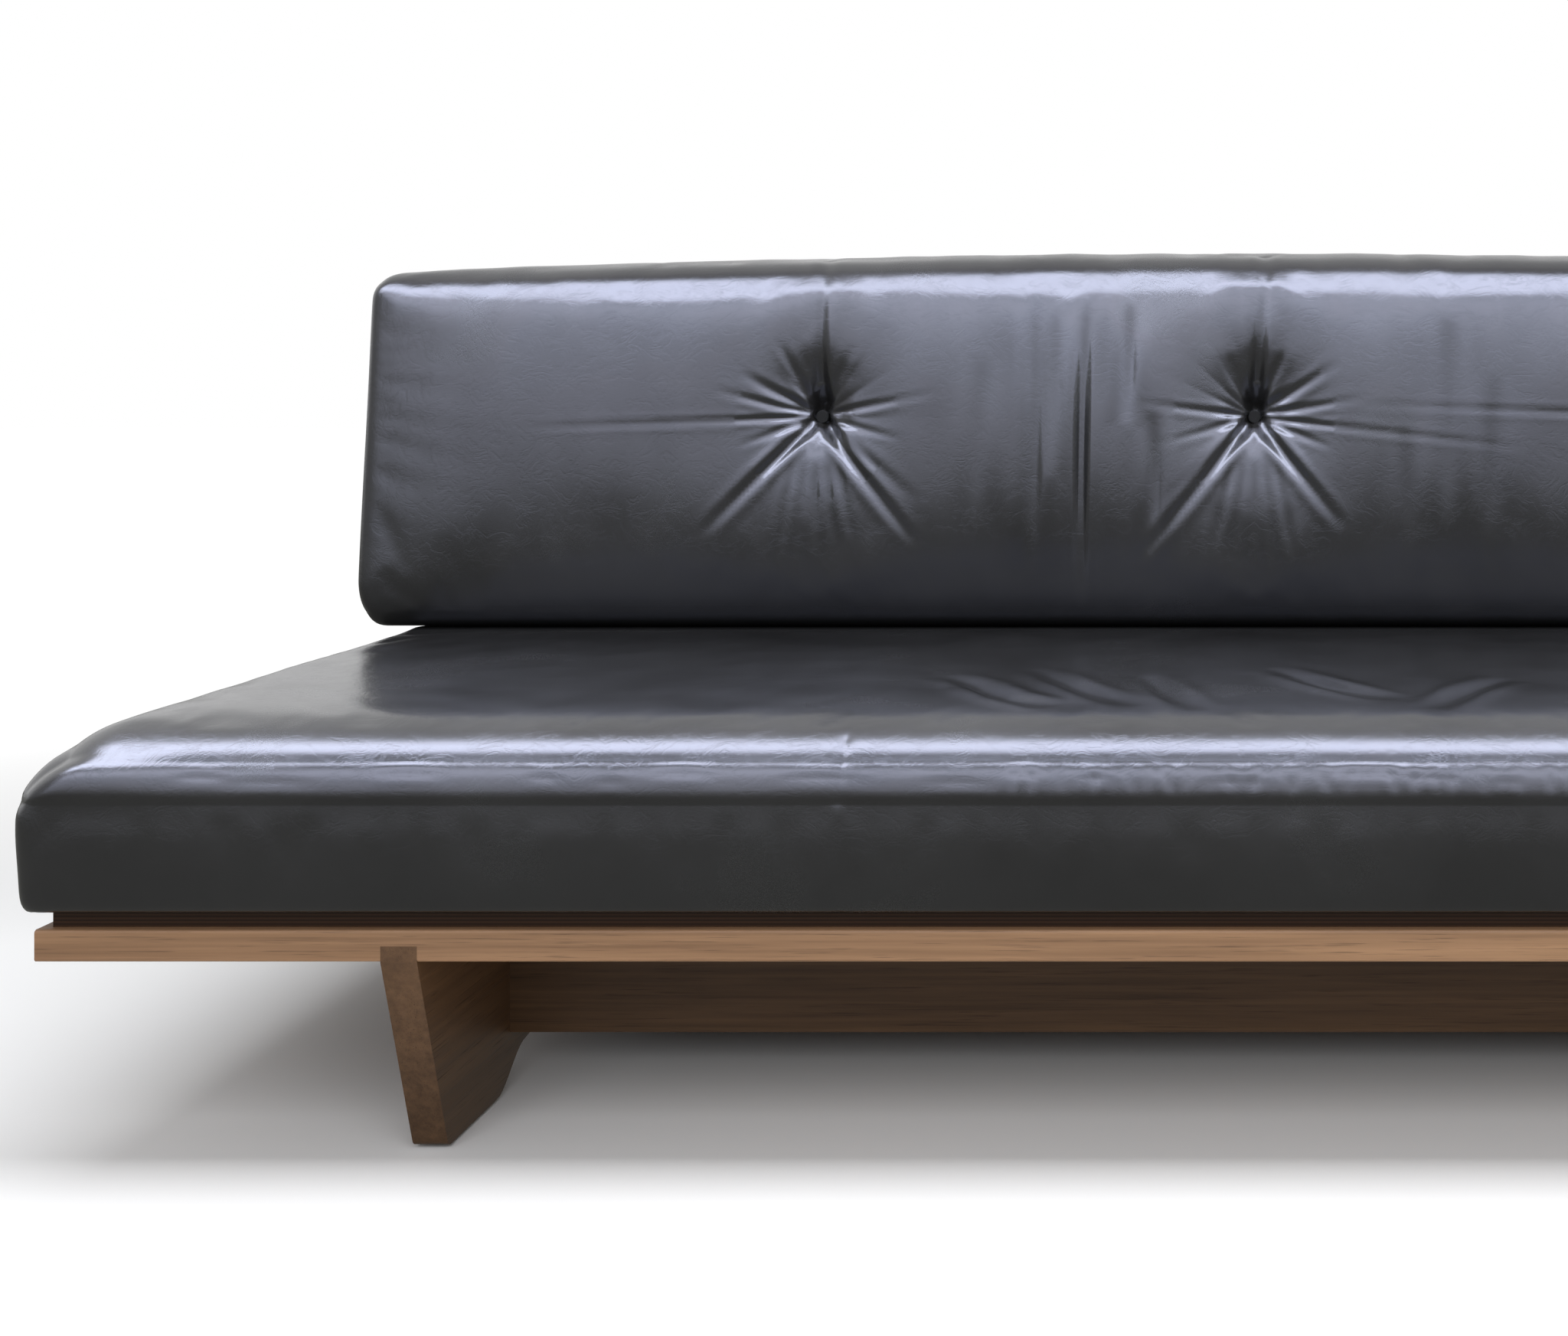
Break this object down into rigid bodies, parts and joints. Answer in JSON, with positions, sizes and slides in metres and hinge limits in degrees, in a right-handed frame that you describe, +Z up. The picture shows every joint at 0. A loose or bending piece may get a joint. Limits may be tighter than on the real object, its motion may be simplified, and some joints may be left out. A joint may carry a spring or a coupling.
{
  "type": "sofa",
  "caption": "Long low sofa: leather bench seat cushion and tufted leather back cushion on a walnut platform with plank legs.",
  "frame": {"origin": "bottom centre of the whole sofa, on the floor", "axes": "+X along the sofa towards its right end as seen from the front, -Y towards the sitter's side (front), +Z up"},
  "size_m": [2.178, 0.8592, 0.8506],
  "materials": {
    "wood": "oiled, satin",
    "beam_wood": "dark stain, satin",
    "plywood": "reddish stain, matte",
    "leather": "smooth, semi-gloss",
    "foam": "matte open-cell foam",
    "tape": "woven, matte",
    "steel": "zinc plated, satin",
    "glides": "matte",
    "washers": "matte"
  },
  "bodies": {
    "frame": {"front_rail": "wood", "rear_rail": "wood", "left_end_rail": "wood", "right_end_rail": "wood", "left_bearer": "wood", "centre_bearer": "wood", "right_bearer": "wood", "deck_panel": "plywood", "left_leg_board": "wood", "right_leg_board": "wood", "front_beam": "beam_wood", "rear_beam": "beam_wood", "foot_glides": "glides", "left_back_post": "wood", "right_back_post": "wood", "lower_back_slat": "wood", "middle_back_slat": "wood", "upper_back_slat": "wood", "frame_dowels": "wood", "beam_bolts": "steel", "barrel_nuts": "steel", "post_bolts": "steel", "post_nuts": "steel", "leg_screws": "steel", "deck_screws": "steel", "slat_screws": "steel"},
    "seat_cushion": {"seat_cover": "leather", "seat_core": "foam", "seat_zip_tape": "tape"},
    "seat_slider": {"seat_zip_slider": "steel"},
    "seat_pull": {"seat_zip_pull": "steel"},
    "back_cushion": {"back_cover": "leather", "back_core": "foam", "back_zip_tape": "tape", "tuft_cords": "tape", "tuft_buttons": "leather", "tuft_washers": "washers"},
    "back_slider": {"back_zip_slider": "steel"},
    "back_pull": {"back_zip_pull": "steel"}
  },
  "joints": [
    {"name": "back_cushion_lift", "type": "slide", "parent": "frame", "child": "back_cushion", "axis": [0, 0, 1], "range_m": [0, 0.45]},
    {"name": "seat_cushion_slide", "type": "slide", "parent": "frame", "child": "seat_cushion", "axis": [0, -1, 0], "range_m": [0, 0.76]},
    {"name": "seat_zip_slide", "type": "slide", "parent": "seat_cushion", "child": "seat_slider", "axis": [-1, 0, 0], "range_m": [0, 1.32]},
    {"name": "seat_zip_pull_swing", "type": "hinge", "parent": "seat_slider", "child": "seat_pull", "pos_m": [0.664, 0.31371, 0.293], "axis": [1, 0, 0], "range_deg": [0, 100]},
    {"name": "back_zip_slide", "type": "slide", "parent": "back_cushion", "child": "back_slider", "axis": [-1, 0, 0], "range_m": [0, 1.32]},
    {"name": "back_zip_pull_swing", "type": "hinge", "parent": "back_slider", "child": "back_pull", "pos_m": [0.664, 0.30941, 0.38727], "axis": [1, 0, 0], "range_deg": [0, 80]}
  ]
}
